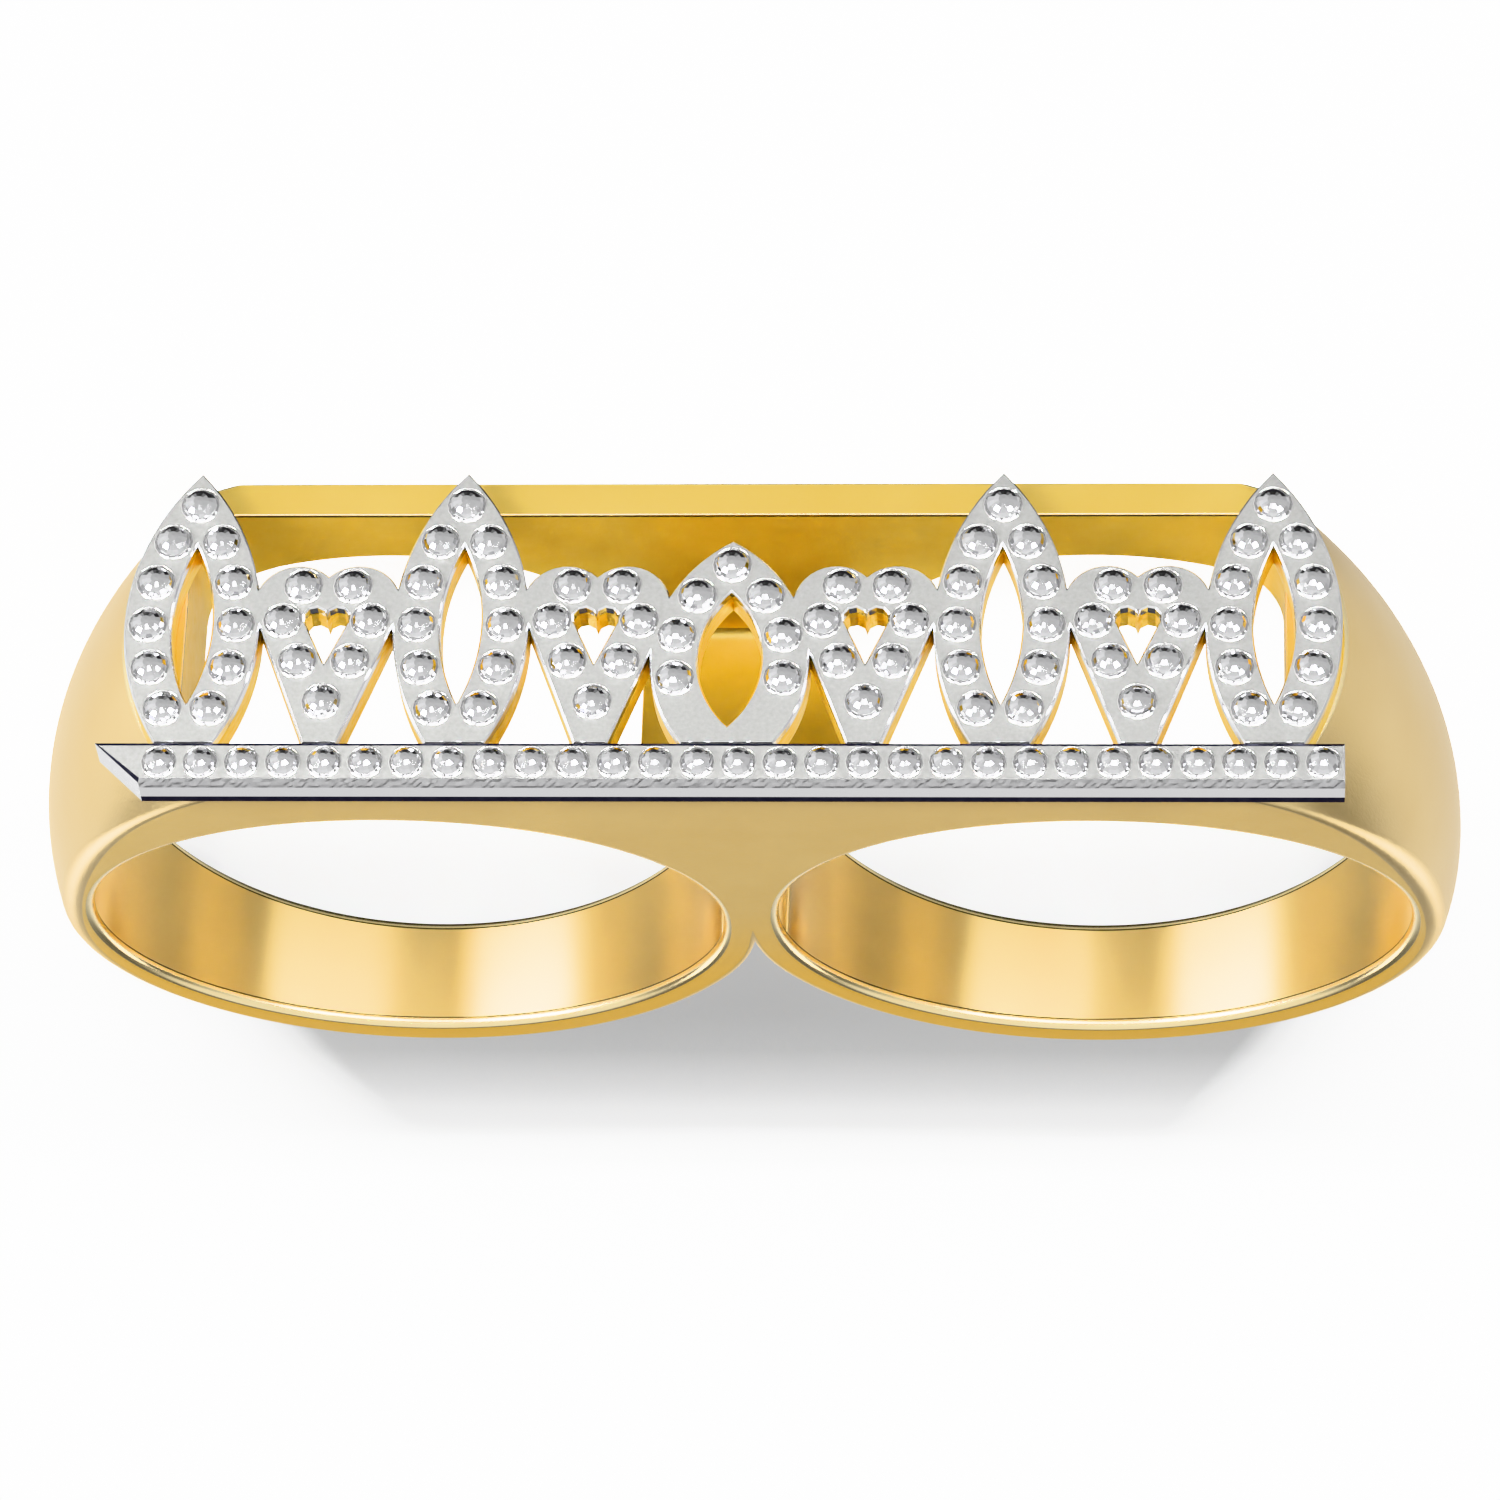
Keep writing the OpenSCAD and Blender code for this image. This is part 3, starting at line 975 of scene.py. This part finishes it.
class Sheet:
    # gathers flat plans, walls and loops of points into one mesh
    def __init__(self):
        self.form = bmesh.new()

    def face(self, verts, finish, smooth):
        made = self.form.faces.new(verts)
        made.material_index = finish
        made.smooth = smooth

    def flat(self, points, faces, z, finish, flip=False):
        made = [self.form.verts.new((p[0], p[1], z)) for p in points]
        for face in faces:
            self.face([made[i] for i in (reversed(face) if flip else face)], finish, False)

    def band(self, lower, upper, finish, smooth=False):
        # joins two closed loops of points, with one finish or one for each side
        finishes = finish if isinstance(finish, list) else [finish] * len(lower)
        low = [self.form.verts.new(p) for p in lower]
        high = [self.form.verts.new(p) for p in upper]
        for i in range(len(low)):
            j = (i + 1) % len(low)
            self.face([low[i], low[j], high[j], high[i]], finishes[i], smooth)

    def cap(self, loop, finish):
        self.face([self.form.verts.new(p) for p in loop], finish, False)

    def mesh(self, name):
        loose = [v for v in self.form.verts if not v.link_faces]
        bmesh.ops.delete(self.form, geom=loose, context="VERTS")
        bmesh.ops.remove_doubles(self.form, verts=self.form.verts[:], dist=openwork["weld"])
        bmesh.ops.recalc_face_normals(self.form, faces=self.form.faces[:])
        print(name + ":", len(self.form.faces), "faces,", countOpen(self.form), "open edges")
        made = bpy.data.meshes.new(name)
        self.form.to_mesh(made)
        self.form.free()
        return made


# Beads: a dome faceted by hand in a shallow cut ring, each leaning a little differently

bead = {
    "sides": 16,
    "recess": ((1.0, 0.0), (0.985, 0.012), (0.96, 0.01), (0.935, -0.05), (0.91, -0.06)),
    "dome": ((0.89, -0.03), (0.84, 0.07), (0.70, 0.17), (0.50, 0.245), (0.26, 0.285)),
    "top": 0.3,
    "uneven": 0.03,
    "seed": 7,
}
turner = random.Random(bead["seed"])


def circle(x, y, radius):
    angles = [2 * math.pi * i / bead["sides"] for i in range(bead["sides"])]
    return [(x + radius * math.cos(a), y + radius * math.sin(a)) for a in angles]


def addBead(sheet, x, y, z, radius):
    # recess and dome are scales of the radius and heights above z
    leanX, leanY = (turner.uniform(-1, 1) * bead["uneven"] for _ in range(2))
    loops = [raised(circle(x, y, radius * scale), z + rise) for scale, rise in bead["recess"]]
    for low, high in zip(loops, loops[1:]):
        sheet.band(low, high, cut, True)
    loops = loops[-1:]
    for scale, rise in bead["dome"]:
        lift = max(0.0, rise)
        middle = (x + leanX * lift / bead["top"], y + leanY * lift / bead["top"])
        loops.append(raised(circle(*middle, radius * scale), z + rise))
    for low, high in zip(loops, loops[1:]):
        sheet.band(low, high, dome)
    tip = (x + leanX, y + leanY, z + bead["top"])
    last = loops[-1]
    for here, after in zip(last, last[1:] + last[:1]):
        sheet.cap([here, after, tip], dome)


def buildFace(loops, beads):
    sheet = Sheet()
    top, bottom = openwork["faceTop"], openwork["faceBottom"]
    shoulder = top - openwork["edgeDrop"]
    inner = [inset(loop, openwork["edgeInset"]) for loop in loops]
    holes = [circle(x, y, openwork["beadRadius"]) for x, y in beads]
    sheet.flat(*solidPlan(inner, holes), top, matte)
    sheet.flat(*solidPlan(loops, []), bottom, matte, True)
    for loop, moved in zip(loops, inner):
        sheet.band(raised(loop, shoulder), raised(moved, top), bright)
        sheet.band(raised(loop, bottom), raised(loop, shoulder), bright)
    for x, y in beads:
        addBead(sheet, x, y, top, openwork["beadRadius"])
    return sheet.mesh("openwork face")


def buildCore(loops):
    sheet = Sheet()
    low, high = openwork["coreBottom"], openwork["coreTop"]
    points, faces = solidPlan(loops, [])
    sheet.flat(points, faces, high, 0)
    sheet.flat(points, faces, low, 0, True)
    heights = [mixed(low, high, p) for p in steps(openwork["coreRows"])]
    for loop in loops:
        for lower, upper in zip(heights, heights[1:]):
            sheet.band(raised(loop, lower), raised(loop, upper), 0)
    return sheet.mesh("openwork core")


motifs, beadPlaces = placeMotifs()
planLoops = [thinned(loop, openwork["leastGap"]) for loop in openworkPlan(motifs)]
pieceFrom("openwork_white_face", buildFace(planLoops, beadPlaces), whiteFinishes,
          "openwork_face")
pieceFrom("openwork_gold_core", buildCore(planLoops), [golds["coreGold"]],
          "openwork_core")
print("openwork:", len(planLoops), "outlines,", len(beadPlaces), "beads")


# Bead bar: mitred at its left end and square at its right, with a milled front

bar = {
    "left": -16.6,
    "right": 16.1,
    "mitre": 1.2,
    "back": -3.75,
    "front": -4.92,
    "bottom": 10.93,
    "top": 11.98,
    "frontCut": 0.13,
    "foot": 0.26,
    "band": 0.4,
    "bandLean": 0.05,
    "millRows": 3,
    "millStep": 0.1,
    "millDepth": 0.035,
    "edge": 0.04,
    # width of the painted shade line along the back edge, and how far it drops
    "line": 0.08,
    "shadeLineDrop": 0.03,
    "beads": 29,
    "beadRadius": 0.47,
    "endRoom": 0.53,
    "endSeam": 0.03,
}
frontLeft = bar["left"] + bar["mitre"]
cutFront = bar["front"] + bar["frontCut"]


def barBeads():
    first = frontLeft + bar["endRoom"]
    last = bar["right"] - bar["endRoom"] - bar["endSeam"]
    middle = (bar["back"] - bar["line"] + bar["front"] + bar["frontCut"]) / 2
    return [(mixed(first, last, p), middle) for p in steps(bar["beads"] - 1)]


def milledLine():
    # places along the front from left to right, each with a nick of its own
    count = round((bar["right"] - frontLeft) / bar["millStep"])
    return [(mixed(frontLeft, bar["right"], p), turner.random()) for p in steps(count)]


def nicked(line, y, z, out, drop):
    return [(x, y - out * nick, z - drop * nick) for x, nick in line]


def barLevels():
    # closed loops from the bottom up: the foot, a plain band, the milled rows and the top
    left, right, back, edge = bar["left"], bar["right"], bar["back"], bar["edge"]
    top, depth = bar["top"], bar["millDepth"]
    footTop = bar["bottom"] + bar["foot"]
    bandTop = footTop + bar["band"]
    bandFront = bar["front"] + bar["bandLean"]

    def backCorners(z):
        return [(right, back, z), (left, back, z)]

    line = milledLine()
    levels = []
    for y, z in ((bar["front"], bar["bottom"]), (bar["front"], footTop), (bandFront, bandTop)):
        levels.append(nicked(line, y, z, 0, 0) + backCorners(z))
    for row in range(1, bar["millRows"]):
        share = row / bar["millRows"]
        y, z = mixed(bandFront, cutFront, share), mixed(bandTop, top, share)
        cornerZ = z if row < bar["millRows"] - 1 else top - bar["shadeLineDrop"]
        levels.append(nicked(milledLine(), y, z, depth, depth) + backCorners(cornerZ))
    reach = (right - edge - frontLeft - edge) / (right - frontLeft)
    line = [(frontLeft + edge + (x - frontLeft) * reach, nick) for x, nick in milledLine()]
    shadeLineBack = back - bar["line"]
    levels.append(nicked(line, cutFront, top, depth, 0)
                  + [(right - edge, shadeLineBack, top), (left + edge + bar["line"], shadeLineBack, top)])
    return levels


def buildBar():
    sheet = Sheet()
    levels = barLevels()
    count = len(levels[0]) - 3
    # the front's foot, and the strips along the back edge and the mitred end at the top, are near-black:
    # painted shade under and behind the bar
    finishes = [[paintedShadeLine] * count + [bright] * 3, bright]
    finishes += [[milledPaintedShade] * count + [bright] * 3] * (bar["millRows"] - 1)
    finishes.append([milledPaintedShade] * count + [bright, paintedShadeLine, paintedShadeLine])
    for low, high, finish in zip(levels, levels[1:], finishes):
        sheet.band(low, high, finish)
    beads = barBeads()
    holes = [circle(x, y, bar["beadRadius"]) for x, y in beads]
    topPlan = [(x, y) for x, y, _ in levels[-1]]
    bottomPlan = [(x, y) for x, y, _ in levels[0]]
    sheet.flat(*solidPlan([topPlan], holes), bar["top"], matte)
    sheet.flat(*solidPlan([bottomPlan], []), bar["bottom"], matte, True)
    for x, y in beads:
        addBead(sheet, x, y, bar["top"], bar["beadRadius"])
    return sheet.mesh("bead bar")


pieceFrom("bead_bar_dressed", buildBar(), whiteFinishes, "bead_bar")


# Floor, light and camera

studio = {
    "floorSize": 1.2,
    "floorDeep": (0.39, 0.39, 0.39),
    "floorLight": (0.41, 0.41, 0.41),
    "floorGrain": 0.8,
    "floorRough": 0.9,
    # the floor's glow along Y: full in front, dipping behind the ring into a painted soft shadow, full
    # again far behind
    "floorPaintedShadowGlow": ((0.0, 1.0), (0.1, 0.34), (0.2, 0.22), (0.34, 0.16), (0.57, 0.145), (0.66, 0.15),
                  (0.76, 0.2), (0.85, 0.265), (0.95, 0.48), (1.0, 1.0)),
    "floorStrength": 3.2,
    "glowFrom": 0.003,
    "glowTo": 0.023,
    "elevation": 61.1578,
    "azimuth": 7.1425,
    "roll": 6.2302,
    "closeness": 0.0049,
    "scale": 36.0121,
    "acrossOffset": 0.115,
    "upOffset": -2.2752,
    "sensor": 36,
    "imageSize": 1500,
    "clip": (0.005, 10),
    "roomFront": ((0.0, 0.06), (0.09, 0.1), (0.16, 0.75), (0.42, 1.0), (0.52, 0.85), (0.7, 0.6),
                  (1.0, 0.9)),
    "roomBack": ((0.0, 0.06), (0.06, 0.1), (0.13, 0.7), (0.42, 0.85), (0.49, 0.6), (0.53, 0.12),
                 (0.7, 0.1), (0.78, 0.8), (1.0, 0.9)),
    "roomStrength": 1.1,
    "backFrom": -0.2,
    "backTo": 0.4,
    "darkSide": ((0.0, 1.0), (1.0, 0.66)),
    "darkLean": 1.3,
    "darkFrom": -0.4,
    "darkTo": -0.9,
    "darkUpTo": 0.35,
    "lamps": {  # place, size and glow of each softbox, and what it lights
        "key softbox": ((0.231, -0.235, 0.14), (0.21, 0.11), 165, "metal"),
        "fill softbox": ((-0.165, -0.286, 0.14), (0.27, 0.11), 50, "metal"),
        "front softbox": ((0.02, -0.33, 0.14), (0.1, 0.11), 9, "metal"),
        "back left softbox": ((0.25, 0.32, 0.06), (0.11, 0.14), 7, "metal"),
        "back right softbox": ((-0.25, 0.32, 0.06), (0.11, 0.14), 6, "metal"),
        "table softbox": ((0.0, -1.47, 0.385), (1.5, 0.21), 1430, "table"),
    },
}


def buildFloor():
    # pale paper with a glow that fades under and behind the ring and rises again farther back: a painted
    # soft shadow
    finish = Finish("paperFloor")
    grain = finish.noise(metal["evenScale"], studio["floorGrain"])
    along = finish.axis(finish.node("ShaderNodeTexCoord", {}, {}, "Object"), "Y")
    paintedShadowPlace = finish.ranged(along, studio["glowFrom"], studio["glowTo"], "LINEAR")
    material = finish.surface({
        "Base Color": finish.blend(grain, opaque(studio["floorDeep"]), opaque(studio["floorLight"])),
        "Roughness": studio["floorRough"],
        "Emission Color": finish.ramp(paintedShadowPlace, studio["floorPaintedShadowGlow"]),
        "Emission Strength": studio["floorStrength"],
    })
    half = studio["floorSize"] / 2
    corners = [(-half, -half, 0), (half, -half, 0), (half, half, 0), (-half, half, 0)]
    mesh = bpy.data.meshes.new("floor")
    mesh.from_pydata(corners, [], [(0, 1, 2, 3)])
    mesh.materials.append(material)
    floor = bpy.data.objects.new("floor", mesh)
    bpy.context.scene.collection.objects.link(floor)
    floor.visible_glossy = False


def viewAxes():
    # the photograph's view in upright ring axes: to the eye, to the right and up
    lift = math.radians(studio["elevation"])
    swing = math.radians(studio["azimuth"])
    spin = math.radians(studio["roll"])
    back = Vector((math.sin(swing) * math.cos(lift), -math.cos(swing) * math.cos(lift), math.sin(lift)))
    right = Vector((math.cos(swing), math.sin(swing), 0))
    up = back.cross(right)
    turnedRight = right * math.cos(spin) - up * math.sin(spin)
    turnedUp = right * math.sin(spin) + up * math.cos(spin)
    return back, turnedRight, turnedUp


def buildCamera():
    back, right, up = viewAxes()
    distance = 1 / studio["closeness"]
    eye = back * distance - right * studio["acrossOffset"] - up * studio["upOffset"]
    data = bpy.data.cameras.new("camera")
    data.sensor_width = studio["sensor"]
    data.lens = studio["scale"] * distance / studio["imageSize"] * studio["sensor"]
    data.clip_start, data.clip_end = studio["clip"]
    camera = bpy.data.objects.new("camera", data)
    turn = toRow.to_3x3() * (1 / mm)
    axes = Matrix([turn @ right, turn @ up, turn @ back]).transposed().to_4x4()
    camera.matrix_world = Matrix.Translation(toRow @ eye) @ axes
    bpy.context.scene.collection.objects.link(camera)
    bpy.context.scene.camera = camera


def buildLamp(name, place, size, glow, lights):
    # a softbox that faces the ring, for the metal alone or for the table alone
    data = bpy.data.lights.new(name, "AREA")
    data.shape = "RECTANGLE"
    data.size, data.size_y = size
    data.energy = glow * math.pi * size[0] * size[1]
    lamp = bpy.data.objects.new(name, data)
    lamp.location = place
    lamp.rotation_euler = Vector(place).to_track_quat("Z", "Y").to_euler()
    lamp.visible_diffuse = lights == "table"
    lamp.visible_glossy = lights == "metal"
    bpy.context.scene.collection.objects.link(lamp)


def buildWorld():
    # what the metal mirrors: a pale table, a dark band behind it, a pale ceiling and a dimmer side
    world = bpy.data.worlds.new("studio")
    room = Shading(world, "ShaderNodeOutputWorld")
    way = room.node("ShaderNodeTexCoord", {}, {}, "Generated")
    across, along, height = (room.axis(way, name) for name in "XYZ")
    front, back = (room.ramp(0.5 + height * 0.5, studio[side]) for side in ("roomFront", "roomBack"))
    shade = room.blend(room.ranged(along, studio["backFrom"], studio["backTo"]), front, back)
    aside = room.ranged(across + along * studio["darkLean"], studio["darkFrom"], studio["darkTo"])
    low = room.ranged(height, studio["darkUpTo"], 0.0)
    shade = room.blend(1.0, shade, room.ramp(aside * low, studio["darkSide"]), "MULTIPLY")
    room.show(room.node("ShaderNodeBackground", {}, {
        "Color": shade, "Strength": studio["roomStrength"]}))
    bpy.context.scene.world = world
    world.cycles_visibility.diffuse = False


buildFloor()
buildCamera()
buildWorld()
for name, lamp in studio["lamps"].items():
    buildLamp(name, *lamp)
bpy.context.scene.view_settings.view_transform = "Khronos PBR Neutral"
print("studio ready")
